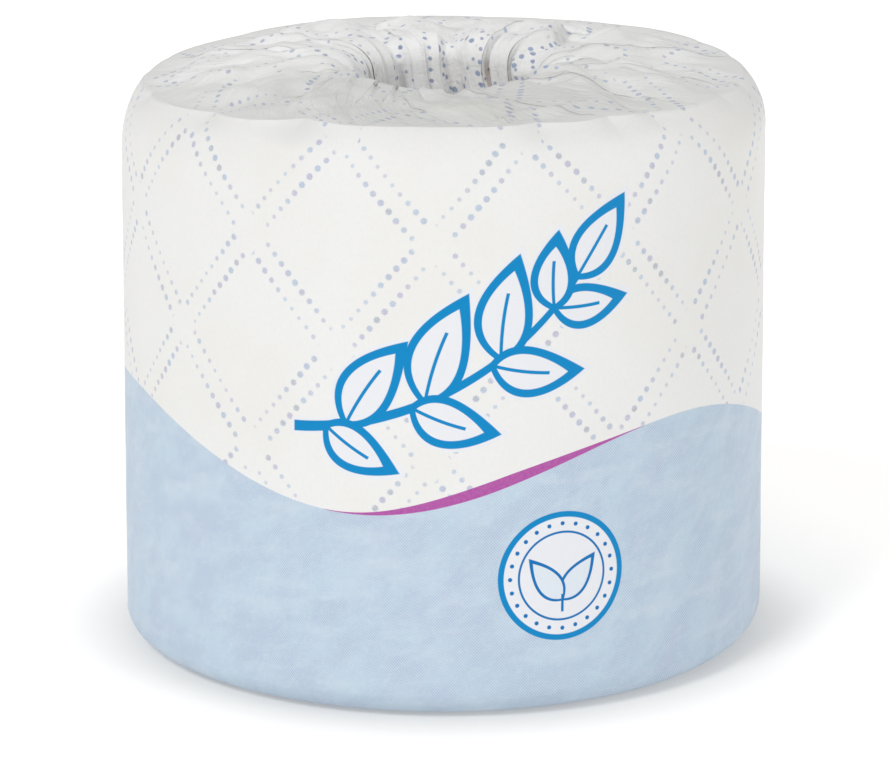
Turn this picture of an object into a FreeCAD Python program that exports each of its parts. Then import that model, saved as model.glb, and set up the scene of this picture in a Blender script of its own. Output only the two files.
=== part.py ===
# Wrapped toilet paper roll: a wound tissue roll on a cardboard core, in one
# printed paper wrapper whose two ends are pleated flat over the roll's ends
# and tucked down inside the core.
#
# Frame: millimetres, +Z up along the roll's axis, origin at the centre of the
# bottom end, which is the face that the roll stands on. -Y is the front, and
# the wrapper's lap seam runs down the back, at +Y.

import FreeCAD, Part
import math
import os

os.makedirs("parts", exist_ok=True)

# ---------------------------------------------------------------- dimensions
HEIGHT = 104.5            # over the pleats of both ends
RADIUS = 58.5             # outside of the wrapper on the side wall
PAPER = 0.15              # wrapper sheet
BORE_R = 16.5             # clear radius inside the tucked ends

TOP_SHOULDER = 9.0        # radius where the side wall turns onto the top
BOTTOM_SHOULDER = 6.0     # the bottom edge is pressed sharper by the weight
TOP_LIP = 4.0             # soft fold into the mouth of the core, visible face
BOTTOM_LIP = 3.4          # the same under the roll, pressed a little tighter
TOP_TUCK = 28.0           # depth of the tucked skirt below the top face
BOTTOM_TUCK = 26.0        # depth of the tucked skirt above the bottom face
FLAP_SHORT = 0.4          # pleat layers end this much before the sheet's edge

LAP_WIDTH = 12.0          # side lap at the back, the sheet's outer end on top
LAP_RUN_IN = 4.0          # how far the lap is followed onto each end

TOP_PLEATS = 20
BOTTOM_PLEATS = 18

CORE_ID_R = 20.3          # inside of the cardboard tube
CORE_WALL = 0.6
TISSUE_R = 58.0           # outside of the wound tissue, slack under the wrapper
TISSUE_TOP_GAP = 1.2      # the puffed pleats hold the top paper off the tissue
TISSUE_TOP_ROUND = 10.5   # soft outer corner of the wound tissue, top
TISSUE_BOTTOM_ROUND = 7.5 # and bottom

# ------------------------------------------------------------ derived levels
LAYERS = 3                                # a pleat is three sheets thick
Z_TOP = HEIGHT - (LAYERS - 1) * PAPER     # visible face of the single sheet, top
Z_BOT = (LAYERS - 1) * PAPER              # and bottom
SKIRT_R = BORE_R + (LAYERS - 1) * PAPER   # visible face of the tucked skirt
TOP_LIP_R = SKIRT_R + TOP_LIP             # axes of the lips' arcs
BOTTOM_LIP_R = SKIRT_R + BOTTOM_LIP

AXIS = FreeCAD.Vector(0, 0, 1)
ORIGIN = FreeCAD.Vector(0, 0, 0)


def P(r, z):
    return FreeCAD.Vector(r, 0, z)


def line(a, b):
    return Part.makeLine(a, b)


def arc(cx, cz, r, a0, a1):
    """Arc in the XZ plane about (cx, cz), from angle a0 to a1 in degrees."""
    pts = []
    for a in (a0, 0.5 * (a0 + a1), a1):
        t = math.radians(a)
        pts.append(P(cx + r * math.cos(t), cz + r * math.sin(t)))
    return Part.Arc(*pts).toShape()


def revolve(edges, degrees=360.0, start=0.0):
    face = Part.Face(Part.Wire(edges))
    solid = face.revolve(ORIGIN, AXIS, degrees)
    if start:
        solid.rotate(ORIGIN, AXIS, start)
    return solid


# ------------------------------------------------------- the wrapper's sheet
def sheet_section():
    """Closed section of the single sheet: tuck, lip, end, shoulder, side,
    shoulder, end, lip, tuck. The visible face runs one way and the hidden
    face runs back, one sheet thickness inside it."""
    t = PAPER
    zb_end = BOTTOM_TUCK
    zt_end = HEIGHT - TOP_TUCK
    sb, st = BOTTOM_SHOULDER, TOP_SHOULDER
    lb, lt = BOTTOM_LIP, TOP_LIP
    e = []
    # visible face, from the bottom tuck's edge to the top tuck's edge
    e.append(line(P(SKIRT_R, zb_end), P(SKIRT_R, Z_BOT + lb)))
    e.append(arc(BOTTOM_LIP_R, Z_BOT + lb, lb, 180, 270))
    e.append(line(P(BOTTOM_LIP_R, Z_BOT), P(RADIUS - sb, Z_BOT)))
    e.append(arc(RADIUS - sb, Z_BOT + sb, sb, 270, 360))
    e.append(line(P(RADIUS, Z_BOT + sb), P(RADIUS, Z_TOP - st)))
    e.append(arc(RADIUS - st, Z_TOP - st, st, 0, 90))
    e.append(line(P(RADIUS - st, Z_TOP), P(TOP_LIP_R, Z_TOP)))
    e.append(arc(TOP_LIP_R, Z_TOP - lt, lt, 90, 180))
    e.append(line(P(SKIRT_R, Z_TOP - lt), P(SKIRT_R, zt_end)))
    # top tuck's cut edge
    e.append(line(P(SKIRT_R, zt_end), P(SKIRT_R + t, zt_end)))
    # hidden face, back to the bottom tuck's edge
    e.append(line(P(SKIRT_R + t, zt_end), P(SKIRT_R + t, Z_TOP - lt)))
    e.append(arc(TOP_LIP_R, Z_TOP - lt, lt - t, 180, 90))
    e.append(line(P(TOP_LIP_R, Z_TOP - t), P(RADIUS - st, Z_TOP - t)))
    e.append(arc(RADIUS - st, Z_TOP - st, st - t, 90, 0))
    e.append(line(P(RADIUS - t, Z_TOP - st), P(RADIUS - t, Z_BOT + sb)))
    e.append(arc(RADIUS - sb, Z_BOT + sb, sb - t, 360, 270))
    e.append(line(P(RADIUS - sb, Z_BOT + t), P(BOTTOM_LIP_R, Z_BOT + t)))
    e.append(arc(BOTTOM_LIP_R, Z_BOT + lb, lb - t, 270, 180))
    e.append(line(P(SKIRT_R + t, Z_BOT + lb), P(SKIRT_R + t, zb_end)))
    e.append(line(P(SKIRT_R + t, zb_end), P(SKIRT_R, zb_end)))
    return e


# ---------------------------------------------------------------- the pleats
def pleat_layer_section(r_out, top):
    """Section of the two sheets that a pleat adds on top of the single sheet,
    over the flat end, the lip and the tucked skirt. It starts half way into
    the single sheet, so that the two become one body."""
    add = (LAYERS - 1) * PAPER
    half = 0.5 * PAPER
    s = 1.0 if top else -1.0
    z = Z_TOP if top else Z_BOT
    z_end = (HEIGHT - TOP_TUCK + FLAP_SHORT) if top else (BOTTOM_TUCK - FLAP_SHORT)
    lip = TOP_LIP if top else BOTTOM_LIP
    lip_r = SKIRT_R + lip
    zc = z - s * lip

    def a(r, a0, a1):
        return arc(lip_r, zc, r, s * a0, s * a1)

    e = []
    e.append(line(P(r_out, z + s * add), P(lip_r, z + s * add)))
    e.append(a(lip + add, 90, 180))
    e.append(line(P(SKIRT_R - add, zc), P(SKIRT_R - add, z_end)))
    e.append(line(P(SKIRT_R - add, z_end), P(SKIRT_R + half, z_end)))
    e.append(line(P(SKIRT_R + half, z_end), P(SKIRT_R + half, zc)))
    e.append(a(lip - half, 180, 90))
    e.append(line(P(lip_r, z - s * half), P(r_out, z - s * half)))
    e.append(line(P(r_out, z - s * half), P(r_out, z + s * add)))
    return e


def pleats(count, seed, top):
    """Plan of each pleat: the angle of its fold at the mouth, the angle that
    its flap covers there, the radius where the fold starts and the lean of the
    fold between the two. Hand-laid pleats differ, so all four vary."""
    plan = []
    pitch = 360.0 / count
    starts = [pitch * (i + 0.17 * math.sin(2.4 * i + seed)) for i in range(count)]
    for i in range(count):
        room = (starts[(i + 1) % count] - starts[i]) % 360.0
        cover = room * (0.90 + 0.025 * math.sin(1.7 * i + 2.0 * seed))
        r_start = RADIUS - (TOP_SHOULDER if top else BOTTOM_SHOULDER) - 2.2
        r_start += 1.6 * math.sin(3.1 * i + 0.4 + seed)
        lean = 3.5 + 2.5 * math.sin(1.3 * i + seed)
        plan.append((starts[i], cover, r_start, lean if top else -lean))
    return plan


def flap_prism(angle, cover, r_start, lean, z0, z1):
    """Upright prism over one flap: a narrow tip near the shoulder, widening in
    straight lines to the mouth, then radial edges down the tuck."""
    r_in = BORE_R - 3.0
    r_mouth = TOP_LIP_R + 0.8
    tip = 0.45
    mid = angle + lean + 0.5 * cover
    plan = [(r_in, angle), (r_mouth, angle), (r_start, mid - tip),
            (r_start, mid + tip), (r_mouth, angle + cover), (r_in, angle + cover)]
    pts = []
    for r, deg in plan:
        t = math.radians(deg)
        pts.append(FreeCAD.Vector(r * math.cos(t), r * math.sin(t), z0))
    pts.append(pts[0])
    face = Part.Face(Part.makePolygon(pts))
    return face.extrude(FreeCAD.Vector(0, 0, z1 - z0))


def make_pleats(count, seed, top):
    shoulder = TOP_SHOULDER if top else BOTTOM_SHOULDER
    layer = revolve(pleat_layer_section(RADIUS - shoulder, top))
    z0, z1 = (0.5 * HEIGHT, HEIGHT + 5.0) if top else (-5.0, 0.5 * HEIGHT)
    flaps = []
    for angle, cover, r_start, lean in pleats(count, seed, top):
        flap = layer.common(flap_prism(angle, cover, r_start, lean, z0, z1))
        flaps += flap.Solids
    return flaps


def make_lap():
    """The sheet's outer end, lapped over its inner end at the back. It stands
    one sheet proud of the side wall and follows both shoulders."""
    t, half = PAPER, 0.5 * PAPER
    sb, st = BOTTOM_SHOULDER, TOP_SHOULDER
    r0b, r0t = RADIUS - sb - LAP_RUN_IN, RADIUS - st - LAP_RUN_IN
    e = []
    e.append(line(P(r0b, Z_BOT - t), P(RADIUS - sb, Z_BOT - t)))
    e.append(arc(RADIUS - sb, Z_BOT + sb, sb + t, 270, 360))
    e.append(line(P(RADIUS + t, Z_BOT + sb), P(RADIUS + t, Z_TOP - st)))
    e.append(arc(RADIUS - st, Z_TOP - st, st + t, 0, 90))
    e.append(line(P(RADIUS - st, Z_TOP + t), P(r0t, Z_TOP + t)))
    e.append(line(P(r0t, Z_TOP + t), P(r0t, Z_TOP - half)))
    e.append(line(P(r0t, Z_TOP - half), P(RADIUS - st, Z_TOP - half)))
    e.append(arc(RADIUS - st, Z_TOP - st, st - half, 90, 0))
    e.append(line(P(RADIUS - half, Z_TOP - st), P(RADIUS - half, Z_BOT + sb)))
    e.append(arc(RADIUS - sb, Z_BOT + sb, sb - half, 360, 270))
    e.append(line(P(RADIUS - sb, Z_BOT + half), P(r0b, Z_BOT + half)))
    e.append(line(P(r0b, Z_BOT + half), P(r0b, Z_BOT - t)))
    width = math.degrees(LAP_WIDTH / RADIUS)
    return revolve(e, width, 90.0 - 0.5 * width)


def make_wrapper():
    sheet = revolve(sheet_section())
    extras = make_pleats(TOP_PLEATS, 0.7, True)
    extras += make_pleats(BOTTOM_PLEATS, 2.1, False)
    extras.append(make_lap())
    return sheet.fuse(extras)


# --------------------------------------------------------- tissue and core
def make_tissue():
    """The wound tissue with all its turns, as one ring with soft outer corners."""
    r0, r1 = CORE_ID_R + CORE_WALL, TISSUE_R
    z0 = Z_BOT + PAPER
    z1 = Z_TOP - PAPER - TISSUE_TOP_GAP
    rb, rt = TISSUE_BOTTOM_ROUND, TISSUE_TOP_ROUND
    e = [line(P(r0, z0), P(r1 - rb, z0)),
         arc(r1 - rb, z0 + rb, rb, 270, 360),
         line(P(r1, z0 + rb), P(r1, z1 - rt)),
         arc(r1 - rt, z1 - rt, rt, 0, 90),
         line(P(r1 - rt, z1), P(r0, z1)),
         line(P(r0, z1), P(r0, z0))]
    return revolve(e)


def make_core():
    """Cardboard tube, cut flush with the tissue at both ends."""
    r0, r1 = CORE_ID_R, CORE_ID_R + CORE_WALL
    z0 = Z_BOT + PAPER
    z1 = Z_TOP - PAPER - TISSUE_TOP_GAP
    e = [line(P(r0, z0), P(r1, z0)), line(P(r1, z0), P(r1, z1)),
         line(P(r1, z1), P(r0, z1)), line(P(r0, z1), P(r0, z0))]
    return revolve(e)


def save(name, shape):
    solids = shape.Solids
    if len(solids) != 1:
        raise RuntimeError("%s has %d solids" % (name, len(solids)))
    solid = solids[0]
    if not solid.isValid():
        raise RuntimeError("%s is not valid" % name)
    solid.exportStep("parts/%s.step" % name)
    b = solid.BoundBox
    print("%-12s volume %10.1f mm3  faces %4d  box %.2f %.2f %.2f to %.2f %.2f %.2f"
          % (name, solid.Volume, len(solid.Faces),
             b.XMin, b.YMin, b.ZMin, b.XMax, b.YMax, b.ZMax))
    return solid


save("wrapper", make_wrapper())
save("tissue_roll", make_tissue())
save("core_tube", make_core())
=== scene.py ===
import math

import bpy
import numpy as np
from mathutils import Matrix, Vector
from mathutils.geometry import delaunay_2d_cdt


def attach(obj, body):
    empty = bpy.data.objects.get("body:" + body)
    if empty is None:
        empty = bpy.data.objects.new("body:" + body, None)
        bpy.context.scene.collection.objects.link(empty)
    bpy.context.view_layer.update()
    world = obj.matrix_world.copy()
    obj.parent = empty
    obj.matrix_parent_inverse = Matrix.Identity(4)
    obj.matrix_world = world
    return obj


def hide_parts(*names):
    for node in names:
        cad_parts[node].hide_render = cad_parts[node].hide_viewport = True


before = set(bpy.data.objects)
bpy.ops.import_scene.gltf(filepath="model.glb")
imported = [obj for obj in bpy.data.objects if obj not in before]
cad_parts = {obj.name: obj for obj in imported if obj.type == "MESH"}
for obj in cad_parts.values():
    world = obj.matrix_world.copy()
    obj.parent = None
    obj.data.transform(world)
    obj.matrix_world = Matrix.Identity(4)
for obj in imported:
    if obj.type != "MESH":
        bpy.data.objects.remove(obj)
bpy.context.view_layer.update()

MM = 0.001
TAU = 2.0 * math.pi
D2R = math.pi / 180.0

# ----------------------------------------------------------------------------
# sizes, in millimetres, in the row frame; angles run from the front (-Y)
# towards +X, so +-180 degrees is the back, where the sheet laps
# ----------------------------------------------------------------------------
R_SIDE = 58.5
SHEET_ROUND = 380.0                      # 367.6 round the roll and a 12.4 lap
HALF_SPAN = SHEET_ROUND / R_SIDE / D2R / 2.0
CORE_R = 20.3
TISSUE_R, TISSUE_LOW, TISSUE_TOP = 58.0, 0.45, 102.85
TISSUE_TOP_ROUND, TISSUE_BOTTOM_ROUND = 10.5, 7.5
SKIRT_B, SKIRT_T = 24.0, 26.0            # how far each end is tucked into the core
LOW_T = 62.0                             # sheet coordinate t of height 0 on the side wall


# ----------------------------------------------------------------------------
# small numeric helpers
# ----------------------------------------------------------------------------
def lerp(a, b, t):
    return a + (b - a) * t


def smooth(x, a, b):
    t = np.clip((np.asarray(x, float) - a) / (b - a), 0.0, 1.0)
    return t * t * (3.0 - 2.0 * t)


def hash2(ix, iy, seed):
    h = (ix.astype(np.int64) * 374761393 + iy.astype(np.int64) * 668265263
         + int(seed) * 1442695041) & 0xFFFFFFFF
    h = ((h ^ (h >> 13)) * 1274126177) & 0xFFFFFFFF
    h = h ^ (h >> 16)
    return (h & 0xFFFFFF) / float(0x1000000)


def noise(x, y, seed=0):
    """Gradient noise, about -1 to 1."""
    x, y = np.broadcast_arrays(np.asarray(x, float), np.asarray(y, float))
    ix, iy = np.floor(x), np.floor(y)
    fx, fy = x - ix, y - iy
    ux = fx ** 3 * (fx * (fx * 6 - 15) + 10)
    uy = fy ** 3 * (fy * (fy * 6 - 15) + 10)

    def g(dx, dy):
        a = TAU * hash2(ix + dx, iy + dy, seed)
        return np.cos(a) * (fx - dx) + np.sin(a) * (fy - dy)

    return 1.6 * lerp(lerp(g(0, 0), g(1, 0), ux), lerp(g(0, 1), g(1, 1), ux), uy)


def ridged(x, y, seed=0):
    """0 to 1, with sharp ridges at 1."""
    return 1.0 - np.minimum(1.0, np.abs(noise(x, y, seed)) * 1.6)


def creases(x, y, seed, count, pitch, turn, spread_deg, patch):
    """Straight soft-edged creases in patches, about -1 to 1."""
    rng = np.random.default_rng(seed)
    out = 0.0
    for i in range(count):
        a = (turn + rng.uniform(-spread_deg, spread_deg)) * D2R
        p = pitch * rng.uniform(0.7, 1.5)
        q = (x * math.cos(a) + y * math.sin(a)) / p + rng.uniform(0, 1)
        q = q + 0.35 * noise(x / (3 * pitch), y / (3 * pitch), seed + 31 * i + 7)
        tri = np.abs((q - np.floor(q)) * 2 - 1) * 2 - 1
        here = smooth(noise(x / patch + 5.3 * i, y / patch - 3.1 * i, seed + 17 * i), 0.0, 0.35)
        out = out + tri * here
    return out / math.sqrt(count)


def wrapped(d):
    return (np.asarray(d, float) + 180.0) % 360.0 - 180.0


def around(theta, table):
    """A value round the roll, smooth between (degrees, value) entries."""
    keys = sorted(table)
    a = np.array([k[0] for k in keys], float)
    v = np.array([k[1] for k in keys], float)
    a = np.concatenate([a[-2:] - 360, a, a[:2] + 360])
    v = np.concatenate([v[-2:], v, v[:2]])
    t = wrapped(theta)
    i = np.clip(np.searchsorted(a, t, side="right") - 1, 0, len(a) - 2)
    f = (t - a[i]) / (a[i + 1] - a[i])
    f = f * f * (3 - 2 * f)
    return v[i] + (v[i + 1] - v[i]) * f


class FacetNet:
    """Heights over a flat region, plane on each triangle between its points."""

    def __init__(self, points, values):
        pts = [Vector(p) for p in points]
        out, _, faces, source, _, _ = delaunay_2d_cdt(pts, [], [], 0, 1e-7)
        self.p = np.array([[v.x, v.y] for v in out])
        self.v = np.array([values[s[0]] for s in source])
        self.faces = [f for f in faces if len(f) == 3]

    def __call__(self, x, y):
        x, y = np.broadcast_arrays(np.asarray(x, float), np.asarray(y, float))
        out = np.zeros(x.shape)
        for f in self.faces:
            (x0, y0), (x1, y1), (x2, y2) = self.p[list(f)]
            det = (y1 - y2) * (x0 - x2) + (x2 - x1) * (y0 - y2)
            if abs(det) < 1e-12:
                continue
            a = ((y1 - y2) * (x - x2) + (x2 - x1) * (y - y2)) / det
            b = ((y2 - y0) * (x - x2) + (x0 - x2) * (y - y2)) / det
            c = 1 - a - b
            inside = (a >= -1e-6) & (b >= -1e-6) & (c >= -1e-6)
            v = self.v[list(f)]
            out = np.where(inside, a * v[0] + b * v[1] + c * v[2], out)
        return out

# ----------------------------------------------------------------------------
# the wrapper's pleats. Each one is: angle of its tip near the rim, angle of
# its fold at the mouth, radius of the tip, which edge of the flap is on top
# (+1 or -1) and how far the flap stands up, in millimetres
# ----------------------------------------------------------------------------
TOP_PLEATS = [
    (-170.0, -171.5, 49.0, -1, 1.1),
    (-158.0, -162.0, 38.0, 1, 1.1),
    (-146.0, -141.0, 50.5, -1, 1.2),
    (-133.0, -131.0, 50.0, 1, 1.2),
    (-120.0, -119.5, 39.0, -1, 0.9),
    (-108.0, -110.0, 50.5, 1, 1.1),
    (-97.0, -100.5, 50.5, -1, 1.3),
    (-84.0, -91.0, 41.0, 1, 0.8),
    (-75.0, -82.5, 50.0, -1, 1.3),
    (-62.0, -74.0, 39.0, 1, 0.8),
    (-49.0, -65.0, 49.5, -1, 0.95),
    (-38.0, -55.5, 38.0, 1, 0.6),
    (-28.5, -47.5, 47.5, -1, 0.75),
    (-15.0, -38.0, 37.0, 1, 0.45),
    (-4.0, -28.5, 33.0, 1, 0.45),
    (6.0, -18.5, 39.0, -1, 0.45),
    (18.0, -8.0, 47.0, 1, 0.45),
    (33.5, 11.0, 50.0, -1, 0.5),
    (43.0, 34.0, 51.0, 1, 0.75),
    (55.0, 52.0, 41.0, -1, 0.8),
    (66.0, 65.0, 52.0, 1, 1.1),
    (79.0, 76.0, 52.0, -1, 1.0),
    (91.5, 88.0, 40.0, 1, 0.9),
    (103.5, 106.0, 51.5, -1, 1.2),
    (117.0, 125.0, 51.0, 1, 1.0),
    (129.5, 140.5, 40.0, -1, 1.1),
    (141.5, 147.0, 50.0, 1, 1.3),
    (157.5, 161.5, 49.5, -1, 1.2),
]
BOTTOM_PLEATS = [
    (-168.0, -170.5, 50.0, -1, 0.9),
    (-160.0, -158.0, 50.5, 1, 0.8),
    (-143.0, -145.5, 41.0, 1, 1.0),
    (-135.0, -133.0, 51.0, 1, 1.0),
    (-117.0, -121.5, 50.5, -1, 0.9),
    (-108.5, -108.0, 42.0, 1, 1.1),
    (-99.0, -95.5, 51.0, 1, 1.0),
    (-80.0, -83.0, 51.0, -1, 0.9),
    (-71.0, -70.0, 40.0, -1, 1.0),
    (-61.0, -57.5, 50.5, 1, 1.2),
    (-43.0, -45.5, 50.5, 1, 0.9),
    (-33.0, -32.0, 41.0, -1, 1.0),
    (-22.0, -19.5, 51.0, 1, 1.1),
    (-4.0, -6.5, 50.5, -1, 0.9),
    (6.0, 6.0, 42.0, 1, 1.0),
    (15.0, 18.5, 51.0, 1, 1.1),
    (34.0, 31.5, 51.0, -1, 1.0),
    (44.5, 44.0, 41.0, 1, 1.0),
    (53.0, 56.5, 50.5, 1, 0.9),
    (72.0, 69.0, 51.0, -1, 1.2),
    (82.0, 82.5, 42.0, 1, 1.0),
    (91.5, 95.0, 50.5, 1, 1.0),
    (110.0, 107.5, 51.0, -1, 0.9),
    (120.0, 120.0, 40.0, 1, 1.1),
    (129.5, 133.0, 51.0, 1, 1.0),
    (148.0, 145.5, 50.5, -1, 0.9),
    (157.0, 158.0, 42.0, 1, 1.0),
    (168.0, 170.0, 50.5, 1, 0.8),
]
N_PLEATS = len(TOP_PLEATS)
BACK_SEGMENTS = 4                        # under each flap


class PleatSet:
    def __init__(self, table, seed, keep, wander, opens, opened, end_turn=0.0):
        a = np.array(table, float)
        self.tip, self.mouth, self.r_tip = a[:, 0], a[:, 1], a[:, 2]
        self.on_top, self.height = a[:, 3], a[:, 4]
        self.seed, self.keep, self.wander, self.opens = seed, keep, wander, opens
        self.n = len(a)
        self.end_turn = end_turn
        self.gape = 0.6 + 0.9 * np.random.default_rng(seed).uniform(0, 1, self.n) ** 2
        for k, wide in opened.items():
            self.gape[k] = wide
        edges = np.concatenate([[-HALF_SPAN], self.tip, [HALF_SPAN]])
        self.rim_gap = np.diff(edges)

    def active(self, r):
        """How far each flap has opened at radius r, 0 to 1."""
        return smooth(self.r_tip - r, 0.0, self.opens)

    def ends(self, r):
        """Angles of the sheet's own two edges at radius r."""
        t = min(max((52.0 - r) / (52.0 - 20.5), 0.0), 1.0)
        turn = self.end_turn * t ** 1.1
        return turn - HALF_SPAN, turn + HALF_SPAN

    def centre(self, r, depth=0.0):
        t = np.clip((52.0 - r) / (52.0 - 20.5), 0.0, 1.0)
        i = np.arange(self.n)
        bend = noise(i * 3.7 + 0.3, np.full(self.n, r / 10.0), self.seed + 5)
        c = lerp(self.tip, self.mouth, t ** 1.1)
        c = c + self.wander * bend * math.sin(math.pi * min(t, 1.0)) ** 0.7
        room = np.diff(np.concatenate([[-HALF_SPAN], self.mouth, [HALF_SPAN]]))
        sway = np.minimum(3.2, 0.28 * np.minimum(room[:-1], room[1:]))
        return c + sway * noise(i * 2.3 + 9.1, np.full(self.n, depth / 7.0), self.seed + 6) * min(1.0, depth / 4.0)

    def widths(self, r):
        """Width of each flap, in millimetres along the circle of radius r."""
        act = self.active(r)
        low_end, high_end = self.ends(r)
        c = np.concatenate([[low_end], self.centre(r), [high_end]])
        gap = np.diff(c) * r * D2R
        spare = self.rim_gap * R_SIDE * D2R - gap
        share = act * np.maximum(spare[:-1] + spare[1:], 0.5)
        total = self.keep(r) * math.pi * max(R_SIDE - r, 0.0)
        cap = 0.9 * np.minimum(gap[:-1], gap[1:])
        cap = np.minimum(cap, 5.5)
        w = np.zeros(self.n)
        for _ in range(4):
            free = np.maximum(total - w.sum(), 0.0)
            room = share * (w < cap - 1e-6)
            if room.sum() < 1e-6:
                break
            w = np.minimum(w + free * room / room.sum(), cap)
        w = w * smooth(act, 0.0, 0.3)
        return np.maximum(w, 0.25)

    def edges(self, r):
        """For each panel: the fractions of its width at which the flap before it
        ends and the next one begins, and the width itself."""
        w = self.widths(r)
        low_end, high_end = self.ends(r)
        c = np.concatenate([[low_end], self.centre(r), [high_end]])
        w0 = np.concatenate([[0.0], w])
        w1 = np.concatenate([w, [0.0]])
        length = np.maximum(np.diff(c) * r * D2R + (w0 + w1) / 2, w0 + w1 + 0.4)
        return w0 / length, 1.0 - w1 / length, length

    def layout(self, r, depth=0.0):
        """Angle of every column and its place across its panel. Columns are laid
        exactly under the edges of the flaps."""
        c = self.centre(r, depth)
        half = self.widths(r) / (2.0 * r) / D2R
        lines = np.empty(2 * self.n + 2)
        lines[0], lines[-1] = self.ends(r)
        lines[1:-1:2], lines[2:-1:2] = c + half, c - half
        a, b, _ = self.edges(r)
        act = self.active(r)
        on0 = smooth(np.concatenate([[0.0], act]), 0.0, 0.07)
        on1 = smooth(np.concatenate([act, [0.0]]), 0.0, 0.07)
        u = col_u.copy()
        for p in range(self.n + 1):
            cols = np.nonzero(panel_id == p)[0]
            ka, kb = PANEL_KNOTS[p]
            u[cols] = np.interp(col_u[cols], [0.0, ka, kb, 1.0],
                                [0.0, lerp(ka, a[p], on0[p]), lerp(kb, b[p], on1[p]), 1.0])
        return lerp(lines[col_line], lines[np.minimum(col_line + 1, len(lines) - 1)], u), u

    def heights(self, r, u, gain, low, gap, sag, drop=0.0, puff=0.0):
        """Height of every column over the paper below. A panel rises to each of
        its folds; where it runs on under the next flap it lies close beneath it,
        and in the open it falls away again by the share `drop`."""
        act = self.active(r)
        i = np.arange(self.n)
        vary = 1.0 + 0.35 * noise(i * 5.1 + 2.2, np.full(self.n, r / 7.0), self.seed + 9)
        high = low + self.height * gain * act ** 1.8 * vary + 0.11 * smooth(act, 0.0, 0.10) * min(1.0, gain / 0.75)
        open_ = gap * self.gape * np.minimum(act * 8.0, 1.0)
        under = np.maximum(high - open_, low)
        ea, eb, length = self.edges(r)
        out = np.zeros(NCOL)
        for p in range(self.n + 1):
            cols = np.nonzero(panel_id == p)[0]
            last = cols[-1]
            a, b = ea[p], eb[p]
            step = min(1.4 / length[p], 0.3 * (b - a))
            us, hs = [0.0], [low]
            if p > 0:
                if self.on_top[p - 1] > 0:          # starts below the flap before it
                    us += [a, a + step]; hs += [under[p - 1], lerp(under[p - 1], low, drop)]
                else:                               # starts at a fold that lies on top
                    hs = [high[p - 1]]; us += [a]; hs += [high[p - 1] * 0.94]
            left = hs[-1]
            if p == self.n:
                tail = [(1.0, low)]
            elif self.on_top[p] > 0:
                tail = [(b, high[p] * 0.94), (1.0, high[p])]
            else:
                tail = [(b - step, lerp(under[p], low, drop)), (b, under[p]), (1.0, low)]
            k = 0.5 + 0.24 * float(noise(p * 4.3 + 1.9, r / 13.0, self.seed + 1))
            body = lerp(left, tail[0][1], k)
            belly = float(noise(p * 2.9 + 0.7, r / 11.0, self.seed + 2)) - 0.25 + puff
            us += [lerp(a, b, k)]; hs += [max(body + sag * belly, low)]
            us += [t[0] for t in tail]; hs += [t[1] for t in tail]
            out[cols] = np.interp(u[cols], np.maximum.accumulate(us), hs)
            if p < self.n:                          # the back of the flap
                far = high[p] if self.on_top[p] > 0 else low
                near = low if self.on_top[p] > 0 else high[p]
                back = np.arange(last + 1, last + 1 + BACK_SEGMENTS)
                f = col_u[back]
                out[back] = lerp(far, near, f) - open_[p] * 0.45 * np.sin(math.pi * f)
        return out


top_set = PleatSet(TOP_PLEATS, 11, lambda r: 0.80 + 0.12 * smooth(r, 20.0, 40.0), 1.6, 9.0, {5: 1.0, 16: 5.0, 19: 1.2}, -13.0)
bottom_set = PleatSet(BOTTOM_PLEATS, 47, lambda r: 0.82 + 0.12 * smooth(r, 20.0, 40.0), 0.5, 7.0, {})

# columns of the mesh: where each panel's points lie between its two folds
col_line, col_u, col_kind = [], [], []      # line index, fraction, panel (0) or flap back (1)
fold_cols, PANEL_KNOTS = [], []
for i in range(N_PLEATS + 1):
    span = 0.5 * (top_set.rim_gap[i] + bottom_set.rim_gap[i])
    n = int(np.clip(round(span / 1.15), 9, 13))
    PANEL_KNOTS.append((2 / n, 1 - 2 / n))
    for k in range(n + (1 if i == N_PLEATS else 0)):
        col_line.append(2 * i); col_u.append(k / n); col_kind.append(0)
    if i < N_PLEATS:
        fold_cols.append((len(col_line), len(col_line) + BACK_SEGMENTS))
        for k in range(BACK_SEGMENTS):
            col_line.append(2 * i + 1); col_u.append(k / BACK_SEGMENTS); col_kind.append(1)
col_line = np.array(col_line); col_u = np.array(col_u); col_kind = np.array(col_kind)
NCOL = len(col_line)
panel_id = np.where(col_kind == 0, col_line // 2, -1)


def spread(lines):
    """Values at the fold lines, carried to the columns."""
    return lerp(lines[col_line], lines[np.minimum(col_line + 1, len(lines) - 1)], col_u)


def natural_columns(pset):
    """Column angles on the plain side wall, where nothing is folded yet. The
    sheet runs on evenly here, so the two folds of a pleat lie apart, in order."""
    half = 1.6
    out = np.empty(2 * pset.n + 2)
    out[0], out[-1] = -HALF_SPAN, HALF_SPAN
    out[1:-1:2], out[2:-1:2] = pset.tip - half, pset.tip + half
    return spread(out)


def pinched_columns(pset):
    """The same, drawn together at the rim, ready to fold."""
    half = 0.12
    out = np.empty(2 * pset.n + 2)
    out[0], out[-1] = -HALF_SPAN, HALF_SPAN
    out[1:-1:2], out[2:-1:2] = pset.tip - half, pset.tip + half
    return spread(out)


# ----------------------------------------------------------------------------
# profiles
# ----------------------------------------------------------------------------
Z_RIDGE = [(-180, 104.8), (-150, 104.85), (-120, 104.3), (-85, 104.0), (-45, 104.1), (0, 104.25), (45, 104.2), (88, 104.3),
           (120, 104.9), (150, 104.9)]
# how far the paper lies below that at the crease round the end
RIM_DROP = [(-180, 0.05), (-165, -0.2), (-150, 0.05), (-125, 0.7), (-100, 1.2), (-75, 1.3), (-50, 0.9), (-20, 0.1), (0, 0.0),
            (25, 0.1), (50, 0.3), (75, 0.45), (95, 0.45), (115, 0.2), (135, -0.25), (160, -0.05)]
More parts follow.
